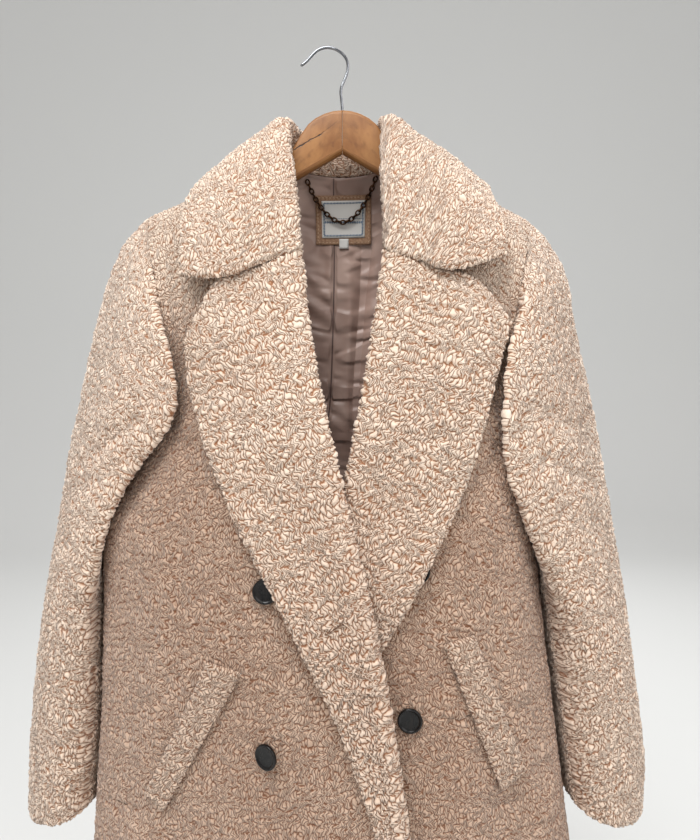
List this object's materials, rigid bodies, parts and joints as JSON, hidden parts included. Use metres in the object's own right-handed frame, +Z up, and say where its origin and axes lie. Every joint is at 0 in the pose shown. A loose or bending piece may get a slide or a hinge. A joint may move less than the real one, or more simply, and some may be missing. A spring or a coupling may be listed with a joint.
{
  "type": "faux fur coat on a wooden hanger",
  "caption": "Double-breasted coat of curly faux fur with wide lapels and welt pockets, hanging open at the neck on a flat wooden hanger.",
  "frame": {"origin": "the inner top of the hanger's hook, where it hangs on a rail or peg", "axes": "+Z up, the coat's front faces -Y, +X is the viewer's right"},
  "size_m": [0.6821, 0.1838, 1.099],
  "materials": {
    "fur": "curly faux fur",
    "satin": "satin lining",
    "suede": "suede",
    "woven": "woven label",
    "horn": "polished",
    "wood": "clear varnish",
    "wire": "polished",
    "bronze": "antique"
  },
  "bodies": {
    "root": {"front_right": "fur", "front_left": "fur", "back": "fur", "sleeve_right": "fur", "sleeve_left": "fur", "collar": "fur", "lapel_right": "fur", "lapel_left": "fur", "lining_back": "satin", "label_patch": "suede", "woven_label": "woven", "size_tab": "woven", "welt_right": "fur", "welt_left": "fur", "button_right_top": "horn", "button_right_low": "horn", "button_left_top": "horn", "button_left_low": "horn", "hanger_right": "wood", "hanger_left": "wood", "hook": "wire", "chain_loop": "bronze"}
  },
  "joints": []
}
